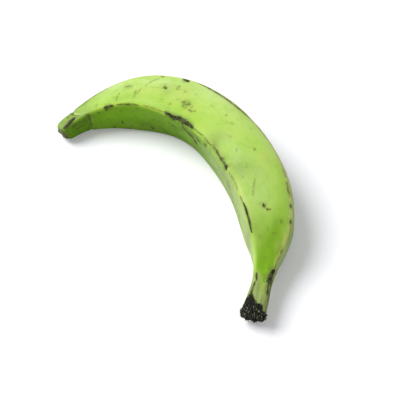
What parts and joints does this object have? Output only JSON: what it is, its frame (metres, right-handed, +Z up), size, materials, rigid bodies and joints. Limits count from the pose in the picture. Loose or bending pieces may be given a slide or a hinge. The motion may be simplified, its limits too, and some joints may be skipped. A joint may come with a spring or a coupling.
{
  "type": "plantain",
  "caption": "Whole green plantain lying on its side: a strongly bent, ridged fruit with a narrow neck, a dark torn stem end and a blunt blossom end.",
  "frame": {"origin": "centre of the bounding box in X and Y, at the level of the surface the fruit lies on", "axes": "+Z up from the surface; the stem end points to -Y and the blossom end to -X, and the bend opens towards -X and -Y"},
  "size_m": [0.1634, 0.1988, 0.0429],
  "materials": {
    "peel": "satin, waxy green peel",
    "stem_end": "matte, dried and torn",
    "blossom_scar": "matte, dried"
  },
  "bodies": {
    "root": {"plantain": "peel"}
  },
  "joints": []
}
